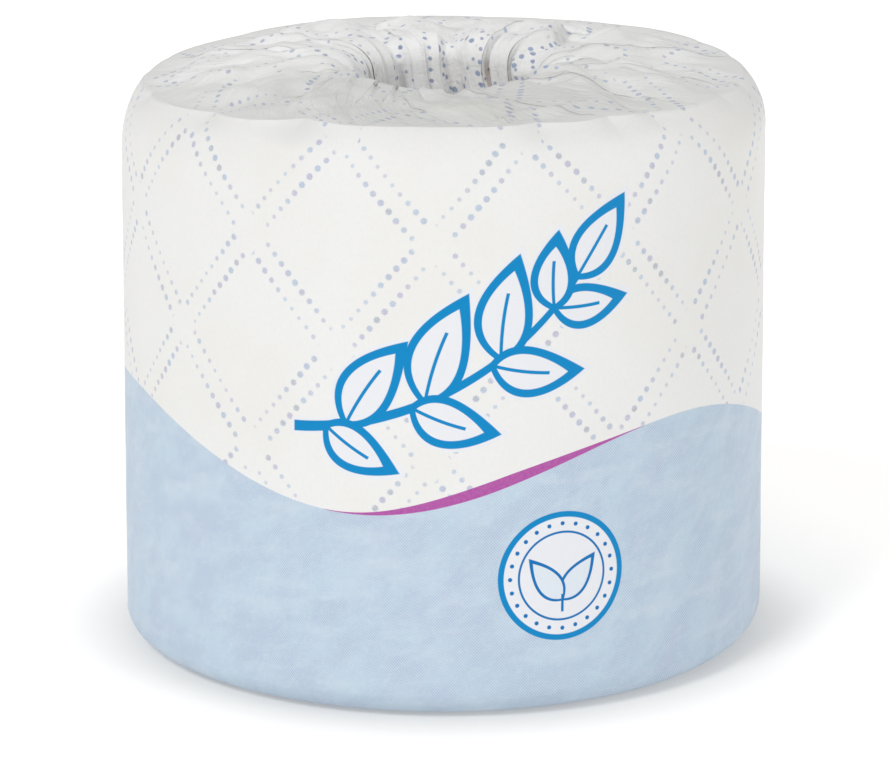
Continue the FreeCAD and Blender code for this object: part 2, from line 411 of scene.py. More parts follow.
# the angle by which the rounded edge has turned in at that crease
RIM_TURN = [(-180, 50), (-135, 44), (-110, 38), (-85, 36), (-60, 38), (-25, 46), (0, 48), (30, 47), (60, 46), (90, 46), (120, 48), (150, 50)]


def ridge_radius(theta, notched=1.0):
    """Where the rounded edge of the roll meets the folded end."""
    r = around(theta, [(-180, 52.0), (-150, 52.4), (-125, 53.6), (-105, 54.2), (-88, 54.6), (-70, 55.0), (-50, 54.8), (-22, 53.2), (0, 52.6),
                       (25, 53.2), (50, 54.0), (75, 54.6), (95, 54.9), (115, 54.8), (150, 53.2)])
    for tip, mouth, r_tip, d, h in TOP_PLEATS:
        if r_tip > 45.0:
            deep = 4.2 if abs(tip + 28) < 5 else 2.3 if abs(tip) < 60 else 1.4 if abs(tip) < 85 else 0.5
            x = np.abs(wrapped(theta - tip))
            r = r - notched * deep * np.exp(-(x / 4.2) ** 1.25)
    return r


def top_shoulder(theta, f):
    """Radius, height and outward direction for f from 0 (side wall) to 1 (the ridge)."""
    rr = ridge_radius(theta, 0.0)
    end = around(theta, RIM_TURN) * D2R
    phi = f * end
    a = (R_SIDE - 0.1 - rr) / (1 - np.cos(end))
    z_ridge = around(theta, Z_RIDGE) - around(theta, RIM_DROP)
    z = z_ridge - a * np.sin(end) + a * np.sin(phi)
    r = R_SIDE - 0.1 - a * (1 - np.cos(phi))
    k = smooth(f, 0.6, 1.0) ** 1.5
    r = r + (ridge_radius(theta, 1.0) - rr) * k
    z = z + 0.02 * k * (rr - ridge_radius(theta, 1.0))
    return r, z, np.cos(phi), np.sin(phi)


def flare(z):
    """The lower half of the wrap is a little slack."""
    return 0.62 * (1.0 - np.clip(z, 0, 104.5) / 104.5) ** 1.3


# the folded top end: facets between the ridge (q = 0) and the mouth (q = 1)
MOUTH_Z = [(-180, -0.2), (-140, -0.2), (-95, 0.1), (-60, 0.6), (-40, 1.2), (-22, 0.3), (2, -0.95), (32, -0.2), (60, -0.1), (90, 0.2), (135, -0.1)]


LIP_RHO = 2.7
R_LIP = 23.4
LONG_FOLDS = [
    ((-32.5, 49.0, -0.5), (-68.0, 23.5, -0.7), 6),
    ((-25.0, 47.5, 0.25), (-50.0, 23.5, 1.15), 6),
    ((-43.0, 47.5, 0.0), (-76.0, 27.0, 0.6), 5),
    ((-12.0, 47.0, -0.55), (-8.0, 30.0, -0.7), 3),
    ((19.5, 43.5, 0.55), (-5.0, 24.0, -0.35), 6),
    ((21.5, 47.0, -0.6), (6.0, 26.0, -0.35), 5),
    ((37.0, 50.0, 0.1), (62.0, 23.0, 1.1), 6),
    ((45.0, 50.0, -0.6), (72.0, 25.0, -0.5), 5),
    ((60.0, 50.5, 0.2), (84.0, 25.0, 0.9), 5),
    ((-80.0, 49.0, -0.4), (-90.0, 25.0, -0.5), 5),
    ((-88.0, 49.0, 0.1), (-98.0, 25.0, 0.6), 5),
    ((-99.0, 49.0, -0.7), (-106.0, 26.0, -0.6), 5),
    ((-109.0, 49.0, 0.0), (-114.0, 26.0, 0.5), 5),
    ((74.0, 50.0, -0.7), (96.0, 26.0, -0.6), 5),
]


def build_top_net():
    rng = np.random.default_rng(20)
    pts, vals, laid = [], [], set()

    def ring(count, q, jt, jq, base, amp, phase=0.0):
        for k in range(count):
            a = -180 + 360.0 * (k + phase) / count
            ta = a + jt * rng.uniform(-1, 1)
            tq = float(np.clip(q + jq * rng.uniform(-1, 1), 0.03, 0.97)) if jq else q
            v = (base(ta) if callable(base) else base) + amp * rng.uniform(-1, 1)
            for turn in (-360, 0, 360):
                if -230 < ta + turn < 230:
                    pts.append(((ta + turn) / 60.0, tq)); vals.append(v)

    ring(90, -0.02, 0.0, 0.0, 0.0, 0.0)
    front = lambda a: max(0.0, math.cos(a * D2R))
    back = lambda a: max(0.0, -math.cos(a * D2R))
    ring(26, 0.19, 4.5, 0.06, lambda a: -0.30 - 0.55 * front(a) - 0.1 * back(a), 0.55, 0.3)
    ring(19, 0.45, 8.0, 0.11, lambda a: -0.05 * front(a) - 0.45 * back(a), 1.45, 0.7)
    ring(19, 0.73, 8.0, 0.09, lambda a: 0.10 * front(a) - 0.5 * back(a) + 0.6 * float(around(a, MOUTH_Z)), 1.25, 0.1)
    ring(28, 1.04, 3.0, 0.0, lambda a: float(around(a, MOUTH_Z)), 0.30, 0.5)

    # long crests and hollows: (angle, radius) at each end and height there
    for (a0, r0, h0), (a1, r1, h1), dots_ in LONG_FOLDS:
        line = []
        for k in range(dots_):
            f = k / (dots_ - 1)
            x0, y0 = r0 * math.sin(a0 * D2R), r0 * math.cos(a0 * D2R)
            x1, y1 = r1 * math.sin(a1 * D2R), r1 * math.cos(a1 * D2R)
            x, y = lerp(x0, x1, f), lerp(y0, y1, f)
            a, r = math.atan2(x, y) / D2R, math.hypot(x, y)
            q = (float(ridge_radius(a, 0.0)) - r) / (float(ridge_radius(a, 0.0)) - R_LIP)
            line.append((a / 60.0, q, lerp(h0, h1, f)))
        keep = [k for k, p in enumerate(pts)
                if min(math.hypot((p[0] - l[0]) * 0.9, p[1] - l[1]) for l in line) > 0.105
                or p[1] < 0.0 or p[1] > 1.0 or p in laid]
        pts[:], vals[:] = [pts[k] for k in keep], [vals[k] for k in keep]
        for a, q, h in line:
            pts.append((a, q)); vals.append(h); laid.add((a, q))
    return FacetNet(pts, vals)


top_net = build_top_net()


def top_base(theta, q):
    t = wrapped(theta)
    drop = around(theta, RIM_DROP) * (1.0 - float(smooth(q, 0.0, 0.34)))
    return around(theta, Z_RIDGE) - drop + top_net(t / 60.0, np.full(np.shape(t), q))


rows = []      # each: dict of per-column arrays


def add_row(region, theta, r, z, nr, nz, h, turned=0.0):
    full = np.ones(NCOL)
    rows.append(dict(region=region, theta=theta * full, r=full * r, z=full * z, nr=full * nr,
                     nz=full * nz, h=full * h, turned=full * turned))



def throat(theta):
    return 19.2 - 0.3 * np.sin(3 * theta * D2R + 0.6) - 0.25 * np.sin(2 * theta * D2R - 0.4)


def turn_in(depth):
    """The tucked paper leans over, so its folds run down at a slant."""
    return -9.0 * float(smooth(depth, -4.0, 17.0) - smooth(0.0, -4.0, 17.0))


def ear(theta, r):
    """A flap that stands up at the back right of the mouth: it rises out of the
    throat and runs back to a point, with a steep side towards the right."""
    x, y = r * np.sin(theta * D2R), -r * np.cos(theta * D2R)
    ax, ay, bx_, by_ = 15.5, 3.0, 22.5, 27.0
    length = math.hypot(bx_ - ax, by_ - ay)
    ux, uy = (bx_ - ax) / length, (by_ - ay) / length
    along = ((x - ax) * ux + (y - ay) * uy) / length
    off = (x - ax) * uy - (y - ay) * ux            # + to the right of the crest
    off = off - 1.6 * np.sin(np.clip(along, 0, 1) * math.pi)
    rise = smooth(along, -0.25, 0.35) * smooth(along, 1.04, 0.55)
    wide = lerp(7.5, 3.5, np.clip(along, 0, 1))
    across = np.where(off > 0, smooth(off, 1.3, 0.0), np.clip(1.0 + off / wide, 0.0, 1.0) ** 1.3)
    return 3.8 * rise * across


T_LIP = lambda th: around(th, Z_RIDGE) + top_net(wrapped(th) / 60.0, np.ones(np.shape(th)))

# bottom skirt, from its cut edge down to the lip
b_nat, b_pin = natural_columns(bottom_set), pinched_columns(bottom_set)
t_nat, t_pin = natural_columns(top_set), pinched_columns(top_set)
LIP_B_Z, LIP_RHO_B = 1.8, 1.45
for f in np.linspace(0, 1, 11)[:-1]:
    depth = SKIRT_B * (1 - f)
    th, uc = bottom_set.layout(20.5, depth)
    h = bottom_set.heights(20.5, uc, 1.9, 0.15, 0.30, 0.6, 0.7)
    ragged = 1.2 * noise(th / 9.0, np.zeros(NCOL), 71) * (1 - f)
    add_row("skirt_b", th, throat(th), LIP_B_Z + depth + ragged, -1.0, 0.0, h)
for f in np.linspace(0, 1, 7)[:-1]:
    psi = (1 - f) * math.pi / 2
    th, uc = bottom_set.layout(20.5)
    rc = throat(th) + LIP_RHO_B
    h = bottom_set.heights(20.5, uc, 1.9, 0.15, 0.30, 0.6, 0.7)
    room = LIP_B_Z / max(math.cos(psi), 1e-3) - LIP_RHO_B - 0.03
    h = np.clip(h * lerp(0.04, 1.0, math.sin(psi)), 0.0, max(room, 0.02))
    add_row("lip_b", th, rc - LIP_RHO_B * math.sin(psi), LIP_B_Z - LIP_RHO_B * math.cos(psi),
            -math.sin(psi), -math.cos(psi), h)
for f in np.linspace(0, 1, 23)[:-1]:
    r = lerp(21.0, 52.4, f)
    th, uc = bottom_set.layout(r)
    th = lerp(th, b_pin, smooth(r, 49, 52.4))
    h = bottom_set.heights(r, uc, 0.25, 0.03, 0.05, 0.08)
    add_row("end_b", th, r, 0.38, 0.0, -1.0, np.clip(h, 0.0, 0.34))
# bottom shoulder
rb_a = lambda th: around(th, [(-180, 5.4), (-90, 4.8), (0, 5.6), (90, 6.4)])
for f in np.linspace(0, 1, 11)[:-1]:
    phi = (1 - f) * math.pi / 2
    th = lerp(b_pin, b_nat, smooth(f, 0.0, 1.0))
    a = rb_a(th)
    r_side = R_SIDE + flare(0.0) - 0.05
    add_row("shoulder_b", th, r_side - a * (1 - math.cos(phi)), a + 0.12 - a * math.sin(phi) + 0.26 * math.sin(phi),
            math.cos(phi), -math.sin(phi), 0.0)
# side wall
for f in np.linspace(0, 1, 45)[:-1]:
    th = lerp(b_nat, t_nat, smooth(f, 0.15, 0.85))
    _, zt, _, _ = top_shoulder(th, 0.0)
    z = lerp(rb_a(th) + 0.12, zt, f)
    add_row("side", th, R_SIDE - 0.1 + flare(z), z, 1.0, 0.0, 0.0)
# top shoulder, up to the ridge
for f in np.linspace(0, 1, 17)[:-1]:
    th = lerp(t_nat, t_pin, smooth(f, 0.1, 1.0))
    r, z, nr, nz = top_shoulder(th, f)
    add_row("shoulder_t", th, r + flare(z) * (1 - f), z, nr, nz, 0.0)
# pleated end
qs = np.concatenate([np.linspace(0, 0.12, 7), np.linspace(0.12, 1.0, 42)[1:]])
for q in qs[:-1]:
    q = float(q)
    r_ref = lerp(52.0, R_LIP, q)
    th, uc = top_set.layout(r_ref)
    th = lerp(t_pin, th, smooth(q, 0.0, 0.05))
    rr = ridge_radius(th)
    r = lerp(rr, R_LIP, q)
    z = top_base(th, q)
    gain = lerp(0.75, 1.95, smooth(q, 0.04, 0.7))
    h = top_set.heights(r_ref, uc, gain, 0.05, 0.05, 1.05 * float(smooth(q, 0.06, 0.5)), 0.8 * float(smooth(q, 0.72, 1.0)))
    h = h + ear(th, r)
    add_row("end_t", th, r, z, 0.0, 1.0, h, float(sum(top_set.ends(r_ref))) / 2)
for f in np.linspace(0, 1, 15)[:-1]:
    psi = f * math.pi / 2
    r_ref = lerp(R_LIP, 20.5, f)
    th, uc = top_set.layout(r_ref, 3.2 * f)
    rc = throat(th) + LIP_RHO
    zc = T_LIP(th) - LIP_RHO
    go = float(smooth(f, 0.1, 1.0))
    h = top_set.heights(r_ref, uc, lerp(1.95, 2.0, go), 0.05, lerp(0.03, 0.12, go), 0.7, lerp(0.8, 0.9, go), 0.5 * go)
    h = h + ear(th, R_LIP - 3.2 * f)
    add_row("lip_t", th + turn_in(3.2 * f), rc + (R_LIP - rc) * (1 - f) ** 2.2 - LIP_RHO * math.sin(psi), zc + LIP_RHO * math.cos(psi),
            -math.sin(psi), math.cos(psi), h, turn_in(3.2 * f) + float(sum(top_set.ends(r_ref))) / 2)
for f in np.linspace(0, 1, 18):
    depth = SKIRT_T * f
    th, uc = top_set.layout(20.5, 3.2 + depth)
    h = top_set.heights(20.5, uc, 2.0, 0.05, 0.12, 0.7, 0.9, 0.5)
    h = h + ear(th, 20.2) * max(0.0, 1 - depth / 7.0)
    ragged = 1.3 * noise(th / 8.0, np.zeros(NCOL), 77) * f
    z_end = 104.0 - LIP_RHO - SKIRT_T
    z_lip = T_LIP(th) - LIP_RHO
    add_row("skirt_t", th + turn_in(3.2 + depth), throat(th) + 0.45 * noise(th / 36.0, depth / 8.0, 81) * min(1.0, depth / 3.0),
            lerp(z_lip, z_end, f) - ragged, -1.0, 0.0, h, turn_in(3.2 + depth) + float(sum(top_set.ends(20.5))) / 2)
NROW = len(rows)

G = {k: np.stack([row[k] for row in rows]) for k in ("theta", "r", "z", "nr", "nz", "h", "turned")}
region = np.array([row["region"] for row in rows])


def at(*names):
    return np.isin(region, names)[:, None] & np.ones((NROW, NCOL), bool)


# sheet coordinate along: length up each column, with heights kept on the side wall
leg = np.hypot(np.diff(G["r"], axis=0), np.diff(G["z"], axis=0))
T = np.concatenate([np.zeros((1, NCOL)), np.cumsum(leg, axis=0)], axis=0)
mid = int(np.argmin(np.abs(G["z"][:, 0] - 50.0) + 1e3 * (region != "side")))
T = T - T[mid] + G["z"][mid] + LOW_T
T_LOW, T_HIGH = float(T.min()), float(T.max())
SHEET_LONG = float((T[-1] - T[0]).mean())

# the outer end of the sheet lies over the inner end at the back
over = smooth(G["theta"] - G["turned"], 171.0, 174.5) * np.where(np.arange(NCOL) > NCOL // 2, 1.0, 0.0)
lift = np.where(at("side", "shoulder_t"), 0.15, 0.16) + 0.05 * np.maximum(noise(T / 17.0, np.zeros_like(T), 5), -0.3) * smooth(G["theta"] - G["turned"], 180, 186) * at("side")
G["h"] = G["h"] + over * np.where(at("end_b", "shoulder_b"), 0.12, lift)

# sheet coordinate across: true length along each row, fitted to the whole sheet
x = (G["r"] + G["nr"] * G["h"]) * np.sin(G["theta"] * D2R)
y = -(G["r"] + G["nr"] * G["h"]) * np.cos(G["theta"] * D2R)
z = G["z"] + G["nz"] * G["h"]
step = np.sqrt(np.diff(x, axis=1) ** 2 + np.diff(y, axis=1) ** 2 + np.diff(z, axis=1) ** 2)
S = np.concatenate([np.zeros((NROW, 1)), np.cumsum(step, axis=1)], axis=1)
S_EVEN = S / S[:, -1:] * SHEET_ROUND


def panel_sheet(length_along):
    """Across the sheet, each panel is drawn at its true size about its own middle;
    the paper between two panels is inside the fold."""
    out = np.array(S_EVEN)
    for tag, pset in (("top", top_set), ("bottom", bottom_set)):
        names = ("shoulder_t", "end_t", "lip_t", "skirt_t") if tag == "top" else ("shoulder_b", "end_b", "lip_b", "skirt_b")
        js = np.nonzero(np.isin(region, names))[0]
        ends = np.concatenate([[-HALF_SPAN - 1.6], pset.tip, [HALF_SPAN + 1.6]])
        L = length_along[js]
        for p in range(N_PLEATS + 1):
            cols = np.nonzero(panel_id == p)[0]
            first, last = cols[0], (cols[-1] + 1 if p < N_PLEATS else cols[-1])
            if p == 0:
                shift = -L[:, first]
            elif p == N_PLEATS:
                shift = SHEET_ROUND - L[:, last]
            else:
                middle = SHEET_ROUND / 2 + R_SIDE * D2R * (ends[p] + ends[p + 1]) / 2
                shift = middle - (L[:, first] + L[:, last]) / 2
            out[np.ix_(js, np.arange(first, last + 1))] = L[:, first:last + 1] + shift[:, None]
        for p in range(N_PLEATS):
            far, near = fold_cols[p]
            for k in range(1, BACK_SEGMENTS):
                out[js, far + k] = lerp(out[js, far], out[js, near], k / BACK_SEGMENTS)
    return out


T_PRINT = np.array(T)
turned_rows = np.nonzero(np.isin(region, ("lip_t", "skirt_t")))[0]
true_leg = np.hypot(np.diff(G["r"] + G["nr"] * G["h"], axis=0), np.diff(G["z"] + G["nz"] * G["h"], axis=0))
for p in range(N_PLEATS + 1):
    cols = np.nonzero(panel_id == p)[0]
    true_leg[:, cols] = true_leg[:, cols].mean(axis=1, keepdims=True)
for far, near in fold_cols:
    for k in range(0, BACK_SEGMENTS):
        true_leg[:, far + k] = lerp(true_leg[:, far - 1], true_leg[:, near], k / BACK_SEGMENTS)
for j in turned_rows[1:]:
    T_PRINT[j] = T_PRINT[j - 1] + true_leg[j - 1]

side_rows = np.nonzero(region == "side")[0]
S_PRINT = panel_sheet(S)
S_PRINT[side_rows] = SHEET_ROUND / 2 + R_SIDE * D2R * G["theta"][side_rows]
S = S_EVEN

# crumple: long soft creases that run towards the mouth. All the layers at one
# place share them, as the folds lie pressed together
def end_crumple(theta, r, turned):
    def raw(t):
        a = t * D2R * 38.0
        return (0.32 * creases(a, r, 101, 5, 8.0, 6, 17, 14.0)
                + 0.15 * creases(a, r, 102, 6, 3.8, -5, 20, 8.0)
                + 0.16 * ridged(a / 5.2 + r / 44.0, r / 30.0, 11) ** 3
                + 0.05 * creases(a, r, 105, 4, 1.9, 3, 14, 6.0)
                + 0.14 * creases(a, r, 103, 3, 10.0, 68, 26, 12.0)
                + 0.10 * ridged(a / 6.5 + r / 31.0, r / 19.0, 3) ** 2
                + 0.015 * noise(a / 1.7, r / 2.8, 8))
    far = smooth(theta - turned, 160.0, 171.0)
    return lerp(raw(theta), raw(theta - 360.0), far)


def tuck_crumple(theta, z, turned):
    def raw(t):
        a = t * D2R * 17.0
        return (0.20 * noise(a / 5.0 + 3.0, z / 8.0, 111) + 0.07 * noise(a / 2.1, z / 4.5, 112)
                + 0.09 * creases(a, z, 113, 4, 4.2, 14, 34, 8.0))
    far = smooth(theta - turned, 160.0, 171.0)
    return lerp(raw(theta), raw(theta - 360.0), far)


tucked = at("skirt_t", "skirt_b", "lip_b") * 1.0
lip_js = np.nonzero(region == "lip_t")[0]
tucked[lip_js] = np.linspace(0, 1, len(lip_js))[:, None]
calm = np.ones((NROW, 1))
low_js = np.nonzero(region == "lip_b")[0]
calm[low_js] = np.linspace(0.8, 0.05, len(low_js))[:, None]
crumple = calm * lerp(end_crumple(G["theta"], G["r"], G["turned"]), tuck_crumple(G["theta"], G["z"], G["turned"]), tucked)


def side_crumple(s):
    return (0.10 * noise(s / 26.0, T / 38.0, 31)
            + 0.05 * noise(s / 9.0 + T / 30.0, T / 26.0, 32)
            + 0.050 * creases(s, T, 104, 5, 15.0, 14, 28, 26.0)
            + 0.022 * creases(s, T, 106, 5, 6.0, 60, 40, 14.0)
            + 0.012 * noise(s / 2.2, T / 2.6, 34))


# at the lap the two layers lie pressed together, so they share one shape
round_back = np.where(G["theta"] < 0, G["theta"] + 360.0, G["theta"]) * D2R * R_SIDE
side_soft = lerp(side_crumple(S), side_crumple(round_back), smooth(np.abs(G["theta"]), 156.0, 168.0))
ramp_in = np.ones((NROW, 1))
is_end = at("end_t", "lip_t") * np.clip((ridge_radius(G["theta"]) - G["r"] + 0.6) / 7.0 + at("lip_t"), 0.0, 1.0)
h_noise = (is_end * crumple + at("skirt_t", "skirt_b", "lip_b") * crumple
           + at("side", "shoulder_t") * side_soft + at("end_b", "shoulder_b") * 0.03 * noise(S / 4.0, T / 4.0, 9))

rr = G["r"] + G["nr"] * (G["h"] + h_noise)
zz = G["z"] + G["nz"] * (G["h"] + h_noise)


# keep clear of the tissue below the paper
def clear_of_tissue(r, z, gap):
    for zc, rad, up in ((TISSUE_TOP - TISSUE_TOP_ROUND, TISSUE_TOP_ROUND, 1.0),
                        (TISSUE_LOW + TISSUE_BOTTOM_ROUND, TISSUE_BOTTOM_ROUND, -1.0)):
        rc = TISSUE_R - rad
        dr, dz = r - rc, (z - zc) * up
        corner = (dr > 0) & (dz > 0)
        d = np.hypot(dr, dz)
        push = corner & (d < rad + gap)
        k = np.where(push, (rad + gap) / np.maximum(d, 1e-6), 1.0)
        r = np.where(push, rc + dr * k, r)
        z = np.where(push, zc + up * dz * k, z)
    return r, z


r2, z2 = clear_of_tissue(rr, zz, 0.15)
mask = at("side", "shoulder_t")
rr, zz = np.where(mask, r2, rr), np.where(mask, z2, zz)
rr = np.where(at("side"), np.maximum(rr, TISSUE_R + 0.12 + 0.2 * over), rr)
over_edge = np.clip(rr - (TISSUE_R - TISSUE_TOP_ROUND), 0.0, TISSUE_TOP_ROUND)
tissue_z = TISSUE_TOP - TISSUE_TOP_ROUND + np.sqrt(TISSUE_TOP_ROUND ** 2 - over_edge ** 2)
zz = np.where(at("end_t"), np.maximum(zz, tissue_z + 0.12), zz)
low_z = 0.02 + 0.28 * np.exp(np.minimum(zz - 0.30, 0.0) / 0.28)      # pressed flat on the floor, layers in order
zz = np.where(at("lip_b") & (zz < 0.30), low_z, zz)
zz = np.where(at("end_b", "shoulder_b"), np.maximum(zz, 0.02), zz)
zz = np.where(at("end_b"), np.minimum(zz, 0.42), zz)

X = rr * np.sin(G["theta"] * D2R)
Y = -rr * np.cos(G["theta"] * D2R)
verts = np.stack([X, Y, zz], axis=-1).reshape(-1, 3) * MM

ii = np.arange(NROW - 1)[:, None] * NCOL
jj = np.arange(NCOL - 1)[None, :]
quads = np.stack([ii + jj, ii + jj + 1, ii + NCOL + jj + 1, ii + NCOL + jj], axis=-1).reshape(-1, 4)

mesh = bpy.data.meshes.new("paper_wrapper")
mesh.from_pydata([tuple(v) for v in verts], [], [tuple(q) for q in quads.tolist()])
mesh.polygons.foreach_set("use_smooth", np.ones(len(mesh.polygons), bool))
wrapper = bpy.data.objects.new("paper_wrapper", mesh)
bpy.context.scene.collection.objects.link(wrapper)

uv_vals = np.stack([S_PRINT / 400.0, T_PRINT / 400.0], axis=-1).reshape(-1, 2)
bake_vals = np.stack([S / SHEET_ROUND, (T - T_LOW) / (T_HIGH - T_LOW)], axis=-1).reshape(-1, 2)
loops = np.zeros(len(mesh.loops), np.int32)
mesh.loops.foreach_get("vertex_index", loops)
for name, vals in (("sheet", uv_vals), ("OFBake", bake_vals)):
    layer = mesh.uv_layers.new(name=name)
    layer.uv.foreach_set("vector", vals[loops].astype(np.float32).ravel())
mesh.uv_layers.active = mesh.uv_layers["sheet"]

# folds are creased, not rounded, where a flap has opened
sharp_flag = np.zeros((NROW, NCOL), bool)
for far, near in fold_cols:
    turned = G["theta"][:, far] > G["theta"][:, near]
    for _ in range(2):                       # and two rows past each end of the fold
        turned[1:-1] |= turned[:-2] | turned[2:]
    sharp_flag[:, far] = sharp_flag[:, near] = turned & (region != "side")
pressed = np.zeros((NROW, NCOL), bool)
j_ridge = int(np.nonzero(region == "end_t")[0][0])
pressed[j_ridge] = np.abs(G["theta"][j_ridge] + 12.0) < 52.0
ev = np.zeros(len(mesh.edges) * 2, np.int32)
mesh.edges.foreach_get("vertices", ev)
ev = ev.reshape(-1, 2)
lo, hi = ev.min(1), ev.max(1)
is_sharp = ((hi - lo) == NCOL) & sharp_flag.reshape(-1)[lo]
is_sharp |= ((hi - lo) == 1) & pressed.reshape(-1)[lo] & pressed.reshape(-1)[hi]
attr = mesh.attributes.new("sharp_edge", "BOOLEAN", "EDGE")
attr.data.foreach_set("value", is_sharp)

# how much each point belongs to the folded ends, and to the tuck near the core
end_share = at("lip_t", "skirt_t", "end_b", "lip_b", "skirt_b") * 1.0 + at("end_t") * np.clip(is_end, 0, 1)
near_core = smooth(rr, 16.6, 18.4)
deg = wrapped(G["theta"])


def sector(low, high, edge=2.0):
    return smooth(deg, low - edge, low + edge) * smooth(deg, high + edge, high - edge)


bare = 0.06 + 0.94 * np.maximum(np.maximum(sector(147.0, 159.0), sector(126.0, 138.0)), sector(-62.0, -50.0))
below_lip = smooth(zz + 0.5 * noise(G["theta"] / 4.0, zz / 3.0, 121), 104.0, 100.5)
core_share = at("skirt_t", "skirt_b", "lip_t") * near_core * bare * np.where(zz > 50.0, below_lip, 1.0)
# painted shade and light on the folded top, set by angle round the roll: 1 at the front, where the end is painted
# darker, down to about 0.1 to 0.4 at the sides and back, where it is painted lighter
thin = np.clip(around(G["theta"], [(-180, 0.10), (-140, 0.10), (-95, 0.14), (-60, 0.56), (-20, 1.0), (30, 1.0), (60, 0.64), (95, 0.38), (140, 0.12)]), 0, 1)
for name, value in (("folded", np.clip(end_share, 0, 1)), ("on_core", core_share), ("thin", thin),
                    ("inner", (panel_id < 0)[None, :] * at("end_t", "lip_t", "skirt_t", "end_b", "lip_b", "skirt_b") * 1.0)):
    a = mesh.attributes.new(name, "FLOAT", "POINT")
    a.data.foreach_set("value", value.reshape(-1).astype(np.float32))
mesh.update()

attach(wrapper, "root")
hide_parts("wrapper")
print("wrapper rows", NROW, "columns", NCOL, "triangles", 2 * len(quads),
      "sheet", SHEET_ROUND, round(SHEET_LONG, 1), "t", round(T_LOW, 1), round(T_HIGH, 1),
      "ridge t", round(float(T[region == "end_t"][0].mean()), 1), "mouth t", round(float(T[region == "lip_t"][0].mean()), 1))

# ----------------------------------------------------------------------------
# materials: a small way of writing node sums
# ----------------------------------------------------------------------------
class Val:
    """A node output that can be added, multiplied and so on."""

    def __init__(self, graph, socket):
        self.g, self.s = graph, socket

    def _m(self, op, other, swap=False):
        return self.g.math(op, other, self) if swap else self.g.math(op, self, other)

    def __add__(self, o): return self._m("ADD", o)
    def __radd__(self, o): return self._m("ADD", o)
    def __sub__(self, o): return self._m("SUBTRACT", o)
    def __rsub__(self, o): return self._m("SUBTRACT", o, True)
    def __mul__(self, o): return self._m("MULTIPLY", o)
    def __rmul__(self, o): return self._m("MULTIPLY", o)
    def __truediv__(self, o): return self._m("DIVIDE", o)
    def __neg__(self): return self.g.math("MULTIPLY", self, -1.0)
    def abs(self): return self.g.math("ABSOLUTE", self)
    def floor(self): return self.g.math("FLOOR", self)
    def round(self): return self.g.math("ROUND", self)
    def frac(self): return self.g.math("FRACT", self)
    def sqrt(self): return self.g.math("SQRT", self)
    def sin(self): return self.g.math("SINE", self)
    def cos(self): return self.g.math("COSINE", self)
    def sign(self): return self.g.math("SIGN", self)
    def max(self, o): return self.g.math("MAXIMUM", self, o)
    def min(self, o): return self.g.math("MINIMUM", self, o)
    def step(self, a, b): return self.g.smoothstep(self, a, b)


